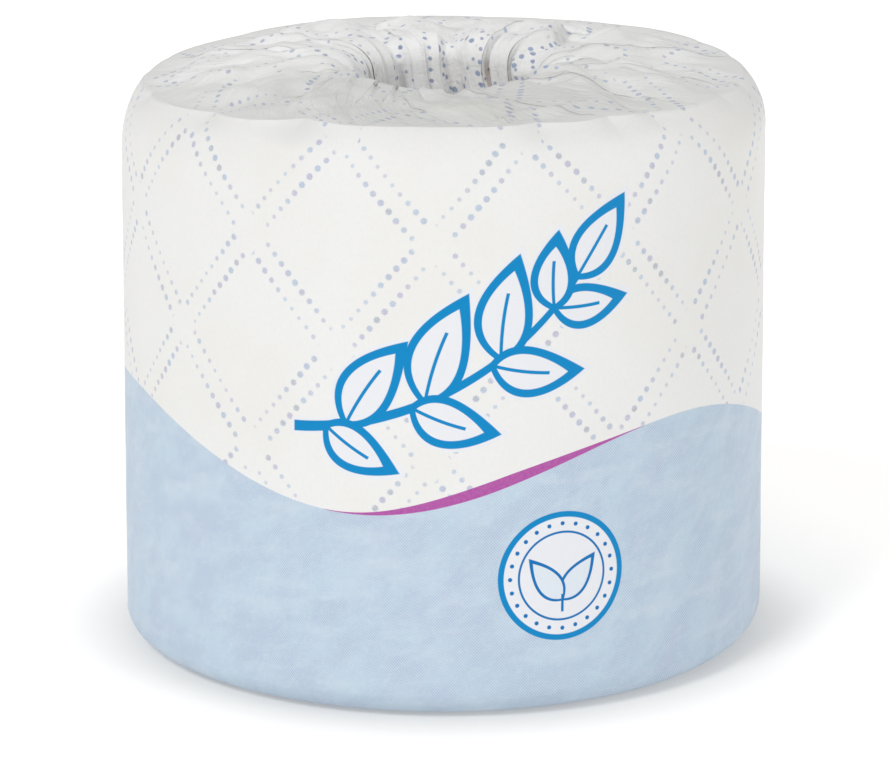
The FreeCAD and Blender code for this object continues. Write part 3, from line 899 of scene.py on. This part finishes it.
class Graph:
    def __init__(self, name):
        self.mat = bpy.data.materials.new(name)
        self.mat.use_nodes = True
        self.nt = self.mat.node_tree
        self.bsdf = next(n for n in self.nt.nodes if n.type == "BSDF_PRINCIPLED")

    def node(self, kind, **props):
        n = self.nt.nodes.new(kind)
        for k, v in props.items():
            setattr(n, k, v)
        return n

    def put(self, socket, value):
        if isinstance(value, Val):
            self.nt.links.new(value.s, socket)
        elif isinstance(value, (tuple, list)):
            socket.default_value = tuple(value) + ((1.0,) if len(socket.default_value) == 4 and len(value) == 3 else ())
        else:
            socket.default_value = value

    def math(self, op, a, b=None):
        n = self.node("ShaderNodeMath", operation=op)
        self.put(n.inputs[0], a)
        if b is not None:
            self.put(n.inputs[1], b)
        return Val(self, n.outputs[0])

    def smoothstep(self, v, a, b):
        n = self.node("ShaderNodeMapRange", interpolation_type="SMOOTHSTEP")
        n.clamp = True
        flip = isinstance(a, (int, float)) and isinstance(b, (int, float)) and a > b
        self.put(n.inputs["Value"], v)
        self.put(n.inputs["From Min"], b if flip else a)
        self.put(n.inputs["From Max"], a if flip else b)
        self.put(n.inputs["To Min"], 1.0 if flip else 0.0)
        self.put(n.inputs["To Max"], 0.0 if flip else 1.0)
        return Val(self, n.outputs[0])

    def mix(self, fac, a, b):
        n = self.node("ShaderNodeMix", data_type="RGBA")
        socks = [s for s in n.inputs if s.enabled]
        self.put(socks[0], fac)
        self.put(socks[1], a)
        self.put(socks[2], b)
        return Val(self, next(s for s in n.outputs if s.enabled))

    def lerp(self, fac, a, b):
        n = self.node("ShaderNodeMix", data_type="FLOAT")
        socks = [s for s in n.inputs if s.enabled]
        self.put(socks[0], fac)
        self.put(socks[1], a)
        self.put(socks[2], b)
        return Val(self, next(s for s in n.outputs if s.enabled))

    def vec(self, x, y, z=0.0):
        n = self.node("ShaderNodeCombineXYZ")
        for s, v in zip(n.inputs, (x, y, z)):
            self.put(s, v)
        return Val(self, n.outputs[0])

    def split(self, v):
        n = self.node("ShaderNodeSeparateXYZ")
        self.put(n.inputs[0], v)
        return [Val(self, s) for s in n.outputs]

    def noise(self, v, scale, detail=2.0, rough=0.5, warp=0.0):
        n = self.node("ShaderNodeTexNoise", noise_dimensions="3D")
        self.put(n.inputs["Vector"], v)
        n.inputs["Scale"].default_value = scale
        n.inputs["Detail"].default_value = detail
        n.inputs["Roughness"].default_value = rough
        n.inputs["Distortion"].default_value = warp
        return Val(self, n.outputs[0])

    def white(self, v):
        n = self.node("ShaderNodeTexWhiteNoise", noise_dimensions="3D")
        self.put(n.inputs["Vector"], v)
        return Val(self, n.outputs[0])

    def voronoi(self, v, scale, feature="F1", out="Distance"):
        n = self.node("ShaderNodeTexVoronoi", feature=feature)
        self.put(n.inputs["Vector"], v)
        n.inputs["Scale"].default_value = scale
        return Val(self, n.outputs[out])

    def attribute(self, name):
        n = self.node("ShaderNodeAttribute", attribute_name=name)
        return Val(self, n.outputs["Fac"])

    def bump(self, height, strength, distance, normal=None):
        n = self.node("ShaderNodeBump")
        n.inputs["Strength"].default_value = strength
        n.inputs["Distance"].default_value = distance
        self.put(n.inputs["Height"], height)
        if normal is not None:
            self.put(n.inputs["Normal"], normal)
        return Val(self, n.outputs[0])

    def set(self, **kw):
        names = {"color": "Base Color", "rough": "Roughness", "spec": "Specular IOR Level", "normal": "Normal",
                 "sheen": "Sheen Weight", "sheen_rough": "Sheen Roughness", "metal": "Metallic"}
        for k, v in kw.items():
            self.put(self.bsdf.inputs[names[k]], v)


def lin(r, g, b, k=1.0):
    """Linear colour of an 8-bit screen colour, times k."""
    return tuple(k * ((c / 255.0) / 12.92 if c / 255.0 < 0.04045 else ((c / 255.0 + 0.055) / 1.055) ** 2.4)
                 for c in (r, g, b))


def patch_cell(v):
    """One point for each of a set of irregular angular patches."""
    n = g.node("ShaderNodeTexVoronoi", feature="SMOOTH_F1")
    g.put(n.inputs["Vector"], v)
    n.inputs["Scale"].default_value = 1.0
    n.inputs["Smoothness"].default_value = 0.30
    return n.outputs["Color"]


# ---- printed paper -----------------------------------------------------------
g = Graph("printed_paper")
uv = g.node("ShaderNodeUVMap", uv_map="sheet")
u, v, _ = g.split(Val(g, uv.outputs[0]))
s_mm = u * 400.0                         # round the roll, 190 is the front
z_mm = v * 400.0 - LOW_T                 # up the side wall, and on over the end
p_mm = g.vec(s_mm, z_mm)
folded = g.attribute("folded")
on_core = g.attribute("on_core")
# painted shade of the folded top by angle round the roll, darkest at the front
thin = g.attribute("thin")
inner = g.attribute("inner")

K = 0.925
WHITE = lin(241, 241, 240, K)
big_cloud = g.noise(p_mm, 0.045, 3.0, 0.55)
fibre = g.noise(g.vec(s_mm * 1.0, z_mm * 0.55), 1.9, 3.0, 0.6)
paper = g.mix(big_cloud.step(0.35, 0.70) * 0.55, WHITE, lin(237, 236, 231, K))
paper = g.mix(fibre.step(0.35, 0.75) * 0.30, paper, lin(232, 232, 232, K))

# the ends fold back on themselves, so a little of the blue side's back and of the
# cream inner face shows through here and there
stain = g.noise(g.vec(s_mm + 71.0, z_mm * 0.6), 0.16, 2.0, 0.5).step(0.70, 0.76)
paper = g.mix(stain * folded * 0.40, paper, lin(228, 227, 214, K))

# painted light and shade on the folded end: lightened towards near white at the back and sides, greyed at the front,
# and greyed in random patches that stand in for the shade of its facets, most strongly at the front
patch_v = g.vec(s_mm * 0.13 + z_mm * 0.03, z_mm * 0.052 - s_mm * 0.02, 3.0)
patch = g.split(Val(g, patch_cell(patch_v)))[0]
paper = g.mix(folded * (1.0 - thin) * 0.80, paper, lin(253, 253, 253, 0.985))
paper = g.mix((patch.step(0.25, 0.80) * 0.28 + thin * 0.42) * (thin * 0.6 + 0.4) * folded, paper, lin(218, 218, 215, K))

# lower colour field
wave = ((s_mm - 190.0) * (3.0 / 58.5) - 3.0 * 46.0 * D2R)
z_wave = wave.cos() * 7.0 + 44.2
below = z_wave - z_mm
line = (s_mm * 0.766 + z_mm * 0.643)
tooth = (line * (TAU / 0.42)).sin() * 0.05
blue_mask = (below + tooth).step(-0.12, 0.12)
m1 = g.noise(g.vec(line * 0.6, (s_mm * 0.643 - z_mm * 0.766)), 0.15, 4.0, 0.66)
m2 = g.noise(g.vec(s_mm + 40.0, z_mm - 13.0), 0.085, 4.0, 0.66)
m3 = g.noise(p_mm, 1.6, 3.0, 0.70)
m4 = g.noise(g.vec(line * 0.8, (s_mm * 0.643 - z_mm * 0.766) * 1.2, 4.0), 0.55, 3.0, 0.6)
BLUE = lin(202, 220, 236, K)
field = g.mix(m1.step(0.40, 0.66) * 0.65, BLUE, lin(198, 210, 235, K))
field = g.mix(m2.step(0.42, 0.68) * 0.60, field, lin(198, 221, 236, K))
field = g.mix(m3.step(0.42, 0.66) * 0.45, field, lin(219, 228, 238, K))
cross_line = s_mm * 0.69 - z_mm * 0.724
hatch = (line * (TAU / 0.37) + m3 * 2.2).sin() * 0.5 + 0.5
hatch2 = (cross_line * (TAU / 0.41) + m3 * 3.0).sin() * 0.5 + 0.5
field = g.mix(hatch * (hatch2 * 0.45 + 0.55) * (m1.step(0.30, 0.62) * 0.5 + 0.5), field, lin(168, 187, 206, K))
field = g.mix(m4.step(0.50, 0.72) * 0.16, field, lin(226, 233, 240, K))
m5 = g.noise(g.vec(s_mm * 0.30 + z_mm * 0.05, z_mm * 0.95 - s_mm * 0.06, 7.0), 0.26, 4.0, 0.62)
field = g.mix(m5.step(0.48, 0.72) * 0.30, field, lin(222, 231, 240, K))
color = paper

# dotted trellis: two families of double rows, with small scalloped dots
CELL_W, CELL_H = 367.6 / 11.0, 38.0
diag = math.hypot(CELL_W, CELL_H)
gap = CELL_W * CELL_H / diag
nx, ny = CELL_H / diag, CELL_W / diag
deep = z_mm.step(135.0, 140.0)           # on the tucked part the ink is heavier
onward = z_mm.step(106.0, 114.0)         # and a little so over the folded end
rows_val = []
fam = []
for sy in (1.0, -1.0):
    across = (s_mm - 188.0) * nx + (z_mm - 9.0) * (ny * sy)
    along = (s_mm - 188.0) * (-ny * sy) + (z_mm - 9.0) * nx
    fam.append((across, along))
cut = [fam[0][0] - (fam[0][0] / gap).round() * gap, fam[1][0] - (fam[1][0] / gap).round() * gap]
dots = None
tints = None
for k in (0, 1):
    across, along = fam[k]
    a = cut[k]
    side = a.sign()
    off = a.abs() - 1.75
    index = (along + side * 0.5) / 2.02
    cell = index.floor()
    d_al = (index - cell - 0.5) * 2.02
    rnd = g.white(g.vec(cell, (across / gap).round() * 2.0 + side, 3.0 + k))
    off_j = off + (rnd - 0.5) * 0.16
    swell = ((along + side * 4.0) * (TAU / (diag / 2.0 * 1.0)) + (across / gap).round() * 2.1 + 0.6).sin() * 0.5 + 0.5
    clear = cut[1 - k].abs().step(2.5, 3.4)          # the rows stop short of each crossing
    radius = (swell * 0.24 + 0.33 - onward * 0.03)
    dist = (off_j * off_j + d_al * d_al).sqrt()
    ang = g.math("ARCTAN2", d_al, off_j)
    lobes = (ang * 7.0).cos() * 0.07
    disc = (dist - radius * (lobes + 1.0)).step(0.14, -0.13)
    speck = g.noise(g.vec(s_mm, z_mm, 2.0), 3.6, 1.0, 0.5).step(0.30, 0.55)
    m = disc * clear * (speck * 0.30 + 0.70) * (swell * 0.30 + 0.66 + deep * 0.2).min(1.0)
    dots = m if dots is None else dots.max(m)
    tints = rnd * m if tints is None else tints.max(rnd * m)
col_id = (s_mm / 7.2).round()
up_id = ((z_mm + (col_id * 1.7).sin() * 3.0) / 2.15).floor()
jit = g.white(g.vec(col_id, up_id, 9.0))
dx_up = s_mm - col_id * 7.2 - (jit - 0.5) * 1.0
dz_up = z_mm + (col_id * 1.7).sin() * 3.0 - (up_id + 0.5) * 2.15
up_dist = (dx_up * dx_up + dz_up * dz_up).sqrt()
up_ang = g.math("ARCTAN2", dz_up, dx_up)
up_dot = (up_dist - ((up_ang * 6.0).cos() * 0.06 + 1.0) * (jit * 0.14 + 0.35)).step(0.13, -0.11) * z_mm.step(134.5, 136.5)
dots = dots.max(up_dot * 0.95) * (1.0 - inner)
tone = g.noise(g.vec(s_mm - 11.0, z_mm), 0.30, 1.0, 0.5)
INK = g.mix(tone.step(0.42, 0.60), lin(180, 198, 219, K), lin(190, 189, 212, K))
INK = g.mix(tints.step(0.60, 0.80) * 0.8, INK, lin(183, 186, 190, K))
INK = g.mix(onward * 0.10 + deep * (tints * 0.45 + 0.30), INK, lin(104, 128, 178, K))
color = g.mix(dots * 0.95, color, INK)

# a leaf spray across the front, white with a heavy blue line
OUT = lin(0, 138, 201, K)
FILL = lin(236, 238, 243, K)
xx = s_mm - 190.0
yy = z_mm


def circle_through(p, q, r):
    (x1, y1), (x2, y2), (x3, y3) = p, q, r
    d = 2 * (x1 * (y2 - y3) + x2 * (y3 - y1) + x3 * (y1 - y2))
    ux = ((x1 ** 2 + y1 ** 2) * (y2 - y3) + (x2 ** 2 + y2 ** 2) * (y3 - y1) + (x3 ** 2 + y3 ** 2) * (y1 - y2)) / d
    uy = ((x1 ** 2 + y1 ** 2) * (x3 - x2) + (x2 ** 2 + y2 ** 2) * (x1 - x3) + (x3 ** 2 + y3 ** 2) * (x2 - x1)) / d
    return ux, uy, math.hypot(x1 - ux, y1 - uy)


def leaf(base, angle, length, width, bend=0.0):
    """Signed distances to a leaf's outline and to its midrib."""
    ca, sa = math.cos(angle * D2R), math.sin(angle * D2R)
    dx, dy = xx - base[0], yy - base[1]
    qx = dx * ca + dy * sa - length / 2
    qy = dy * ca - dx * sa
    if bend:
        qy = qy + ((qx * qx).min(length * length) - (length / 2) ** 2) * bend
    a, b = length / 2, width / 2
    rv = (a * a + b * b) / (2 * b)
    dv = rv - b
    t = qx + (a * a - qx * qx).max(-0.8 * a * a) * (0.22 / a)   # fuller near the stalk
    e = qy.abs() + dv
    body = (t * t + e * e).sqrt() - rv
    rib = (qy.abs() - 0.30).max((qx + 0.16 * length).abs() - 0.34 * length)
    return body, rib


def stroke(c, d, half, soft=0.08):
    return g.mix((d.abs() - half).step(soft, -soft), c, OUT)


P0, P1, P2 = (-26.5, 52.0), (3.0, 60.5), (24.5, 80.0)
cx, cy, cr = circle_through(P0, P1, P2)
dxc, dyc = xx - cx, yy - cy
ring = (dxc * dxc + dyc * dyc).sqrt() - cr
ends = ((xx - P0[0]) * -1.0).max((xx - P2[0]) * 0.75 + (yy - P2[1]) * 0.66)
stem = (ring.abs() + (xx + 26.5) * 0.008 - 0.95).max(ends)
leaves = []


def on_stem(f):
    a0 = math.atan2(P0[1] - cy, P0[0] - cx)
    a2 = math.atan2(P2[1] - cy, P2[0] - cx)
    a = a0 + (a2 - a0) * f
    return (cx + cr * math.cos(a), cy + cr * math.sin(a)), (a + math.pi / 2) / D2R


for f, turn, length, width, bend in (
        (0.16, 44, 17.0, 8.6, 0.010), (0.10, -40, 13.5, 7.0, -0.012),
        (0.40, 46, 19.0, 9.4, 0.010), (0.36, -40, 14.5, 7.6, -0.012),
        (0.65, 44, 17.0, 8.8, 0.010), (0.62, -42, 15.0, 7.6, -0.012),
        (0.86, -44, 12.5, 6.6, -0.012), (0.86, 40, 12.0, 6.8, 0.012)):
    base, tangent = on_stem(f)
    leaves.append((base, tangent + turn, length, width, bend))
base, tangent = on_stem(0.97)
leaves.append((base, tangent + 3, 15.0, 7.8, 0.0))

art = None
shapes = []
for spec in leaves:
    body, rib = leaf(*spec)
    shapes.append((body, rib))
    art = body if art is None else art.min(body)
art_inner = art + 0.0
art = art.min(stem + 0.8)
halo = (art - 1.3).step(0.15, -0.15)
color = g.mix(halo, color, FILL)                    # keeps the dots clear of the spray
color = g.mix(stem.step(0.08, -0.08), color, OUT)
for body, rib in shapes:
    color = g.mix(body.step(0.45, 0.35), color, FILL)
    color = stroke(color, body, 0.70)
    color = g.mix(rib.step(0.07, -0.07), color, OUT)
color = g.mix((stem + 0.12).step(0.08, -0.08) * (art_inner.step(-0.3, 0.0)), color, OUT)

# the blue field and its plum line go over the dots
color = g.mix(blue_mask, color, field)
rise = ((wave + 0.42).sin() * -1.0).max(0.0)
plum_w = rise * rise * 2.0
plum = (z_mm - z_wave + 0.1).step(-0.06, 0.06) * (z_mm - z_wave - plum_w).step(0.06, -0.06) * rise.step(0.05, 0.12)
color = g.mix(plum * (m3 * 0.2 + 0.85).min(1.0), color, lin(178, 74, 164, K))

# round badge with a ring of dots and a pair of leaves
bx, by = xx - 21.0, yy - 25.5
br = (bx * bx + by * by).sqrt()
NAVY = lin(4, 116, 186, K)
color = g.mix((br - 11.6).step(0.08, -0.08), color, FILL)
color = g.mix(((br - 11.1).abs() - 0.52).step(0.08, -0.08), color, OUT)
color = g.mix(((br - 7.9).abs() - 0.20).step(0.07, -0.07), color, NAVY)
ba = g.math("ARCTAN2", by, bx) * (24.0 / TAU)
bt = (ba - ba.round()) * (TAU / 24.0) * 9.45
bd = (bt * bt + (br - 9.45) * (br - 9.45)).sqrt()
color = g.mix((bd - 0.38).step(0.08, -0.08), color, NAVY)
for angle, length, width in ((52.0, 9.4, 4.4), (128.0, 9.4, 4.4)):
    body, rib = leaf((21.0, 21.2), angle, length, width, 0.0)
    color = g.mix(body.step(0.05, -0.05), color, lin(226, 234, 243, K))
    color = g.mix((body.abs() - 0.26).step(0.06, -0.06), color, NAVY)
color = g.mix(((bx.abs() - 0.24).max((by + 4.9).abs() - 1.6)).step(0.06, -0.06), color, NAVY)

# the brown core shows through where one layer of paper lies against it
core_seen = on_core * g.noise(g.vec(s_mm, z_mm * 0.5), 0.35, 2.0, 0.5).step(0.22, 0.50)
tan = g.node("ShaderNodeMix", data_type="RGBA", blend_type="MULTIPLY")
socks = [s for s in tan.inputs if s.enabled]
g.put(socks[0], core_seen * 0.85)
g.put(socks[1], color)
g.put(socks[2], lin(214, 200, 190))
color = Val(g, next(s for s in tan.outputs if s.enabled))

# grain, fine wrinkles and the soft quilting of the roll underneath
grain = g.noise(g.vec(s_mm, z_mm * 0.5), 4.2, 3.0, 0.65)
wr_v = g.vec(s_mm * 0.55 + z_mm * 0.10, z_mm * 0.11)
wr = (g.noise(wr_v, 1.0, 3.0, 0.55, 0.6) - 0.5).abs() * 2.0
wr = 1.0 - (wr * 3.2).min(1.0)
wr2_v = g.vec(s_mm * 0.20 + z_mm * 0.30, z_mm * 0.55 - s_mm * 0.12, 5.0)
wr2 = (g.noise(wr2_v, 1.0, 2.0, 0.5, 0.5) - 0.5).abs() * 2.0
wr2 = 1.0 - (wr2 * 3.0).min(1.0)
soft = g.noise(g.vec(s_mm * 0.055, z_mm * 0.035, 1.0), 1.0, 3.0, 0.5)
wrinkle = wr * (folded * 0.066 + 0.012) + wr2 * (folded * 0.030 + 0.010) + soft * 0.10 + grain * 0.010
normal = g.bump(wrinkle * (1.0 - inner * 0.9), 1.0, MM)
rough = 0.50 + (fibre - 0.5) * 0.14 - blue_mask * 0.05 - dots * 0.03
g.set(color=color, rough=rough, normal=normal, spec=0.15, sheen=0.06, sheen_rough=0.5)
wrapper.data.materials.append(g.mat)
g.mat.use_backface_culling = False
PRINT_NODES = len(g.nt.nodes)

# ---- the tissue inside -------------------------------------------------------
g = Graph("tissue_finish")
co = g.node("ShaderNodeTexCoord")
pos = Val(g, co.outputs["Object"])
x, y, z = g.split(pos)
rad = (x * x + y * y).sqrt() * 1000.0
turns = (rad * (TAU / 0.30) + g.noise(pos, 90.0, 2.0, 0.5) * 5.0).sin() * 0.5 + 0.5
on_end = (g.math("ABSOLUTE", z - 0.0516) * 1000.0).step(50.9, 51.1)
fib = g.noise(pos, 1400.0, 3.0, 0.65)
fluff = g.noise(pos, 260.0, 3.0, 0.6)
col = g.mix(fib.step(0.35, 0.70) * 0.5, lin(238, 238, 236, K), lin(226, 226, 225, K))
col = g.mix(turns * on_end * 0.35, col, lin(205, 205, 204, K))
dimple = g.voronoi(pos, 300.0)
height = turns * on_end * 0.05 + fib * 0.05 + fluff * 0.10 + dimple * 0.08
g.set(color=col, rough=0.86 + fib * 0.10, normal=g.bump(height, 0.9, MM), spec=0.2)
tissue_mat = g.mat

# ---- the core's board --------------------------------------------------------
g = Graph("core_finish")
co = g.node("ShaderNodeTexCoord")
pos = Val(g, co.outputs["Object"])
x, y, z = g.split(pos)
turn = g.math("ARCTAN2", y, x)
seam = (turn / TAU + z * (1000.0 / 62.0)).frac()
seam_line = ((seam - 0.5).abs() - 0.5).abs().step(0.014, 0.004)
fib = g.noise(g.vec(turn * 20.0, z * 900.0, 0.0), 1.3, 4.0, 0.7)
blot = g.noise(pos, 130.0, 3.0, 0.6)
col = g.mix(fib.step(0.30, 0.72), lin(150, 126, 101), lin(178, 152, 124))
col = g.mix(blot.step(0.45, 0.75) * 0.5, col, lin(135, 113, 92))
col = g.mix(seam_line * 0.55, col, lin(104, 86, 70))
height = fib * 0.08 - seam_line * 0.20
g.set(color=col, rough=0.78 + fib * 0.14, normal=g.bump(height, 1.0, MM), spec=0.25)
core_mat = g.mat

for name, mat in (("tissue_roll", tissue_mat), ("core_tube", core_mat)):
    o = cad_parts[name]
    if len(o.material_slots) == 0:
        o.data.materials.append(mat)
    for slot in o.material_slots:
        slot.material = mat
print("print nodes", PRINT_NODES)

# ----------------------------------------------------------------------------
# floor, light and camera
# ----------------------------------------------------------------------------
fm = bpy.data.meshes.new("floor")
fm.from_pydata([(-3, -3, 0), (3, -3, 0), (3, 3, 0), (-3, 3, 0)], [], [(0, 1, 2, 3)])
floor = bpy.data.objects.new("floor", fm)
bpy.context.scene.collection.objects.link(floor)
g = Graph("floor_white_painted_shadow_and_light")
co = g.node("ShaderNodeTexCoord")
grain = g.noise(Val(g, co.outputs["Object"]), 60.0, 2.0, 0.5)
g.bsdf.inputs["Emission Color"].default_value = (1, 1, 1, 1)
fx, fy, _ = g.split(Val(g, co.outputs["Object"]))
from_axis = (fx * fx + fy * fy).sqrt()
# the floor glows at 0.40 away from the roll; painted contact shadow: the glow drops to 0.27 within 52 to 74 mm of the
# roll's axis; painted light: it is raised by 0.12 towards the back right, over the shadow the left key casts there
g.put(g.bsdf.inputs["Emission Strength"], from_axis.step(0.052, 0.074) * 0.13 + (fx + fy * 0.6).step(0.06, 0.13) * 0.12 + 0.27)
# painted contact shadow: the floor's colour is darkened by up to 22% close round the roll
painted_contact_shadow = from_axis.step(0.076, 0.056) * 0.22
g.set(color=g.mix(painted_contact_shadow, g.mix(grain, (0.80, 0.79, 0.772), (0.82, 0.81, 0.792)), (0.0, 0.0, 0.0)), rough=0.95, spec=0.0)
fm.materials.append(g.mat)

world = bpy.data.worlds.new("studio")
bpy.context.scene.world = world
world.use_nodes = True
world.node_tree.nodes["Background"].inputs[0].default_value = (1, 1, 1, 1)
world.node_tree.nodes["Background"].inputs[1].default_value = 0.50


def area_light(name, azimuth, elevation, far, size, power, aim=(0, 0, 0.055)):
    """A round softbox; azimuth is from the front towards +X."""
    light = bpy.data.lights.new(name, "AREA")
    light.shape = "DISK"
    light.size = size
    light.energy = power
    o = bpy.data.objects.new(name, light)
    a, e = azimuth * D2R, elevation * D2R
    o.location = Vector(aim) + far * Vector((math.sin(a) * math.cos(e), -math.cos(a) * math.cos(e), math.sin(e)))
    o.rotation_euler = (Vector(aim) - o.location).to_track_quat("-Z", "Y").to_euler()
    bpy.context.scene.collection.objects.link(o)
    return o


area_light("key_left", -36, 43, 8.0, 2.6, 254.0)
area_light("key_right", 58, 25, 8.0, 4.0, 96.0)
area_light("back_soft", -150, 40, 8.0, 4.0, 22.0)

cam_data = bpy.data.cameras.new("camera")
cam = bpy.data.objects.new("camera", cam_data)
bpy.context.scene.collection.objects.link(cam)
CAM_D, CAM_PITCH, CAM_F = 783.7, 0.2595, 4242.05
target = Vector((0.276, 0.0, 45.81)) * MM
cam.location = target + Vector((0, -math.cos(CAM_PITCH), math.sin(CAM_PITCH))) * CAM_D * MM
cam.rotation_euler = (target - cam.location).to_track_quat("-Z", "Y").to_euler()
cam_data.sensor_width = 36.0
cam_data.lens = CAM_F / 890.0 * 36.0
cam_data.clip_start, cam_data.clip_end = 0.05, 20
bpy.context.scene.camera = cam
bpy.context.scene.view_settings.view_transform = "Standard"
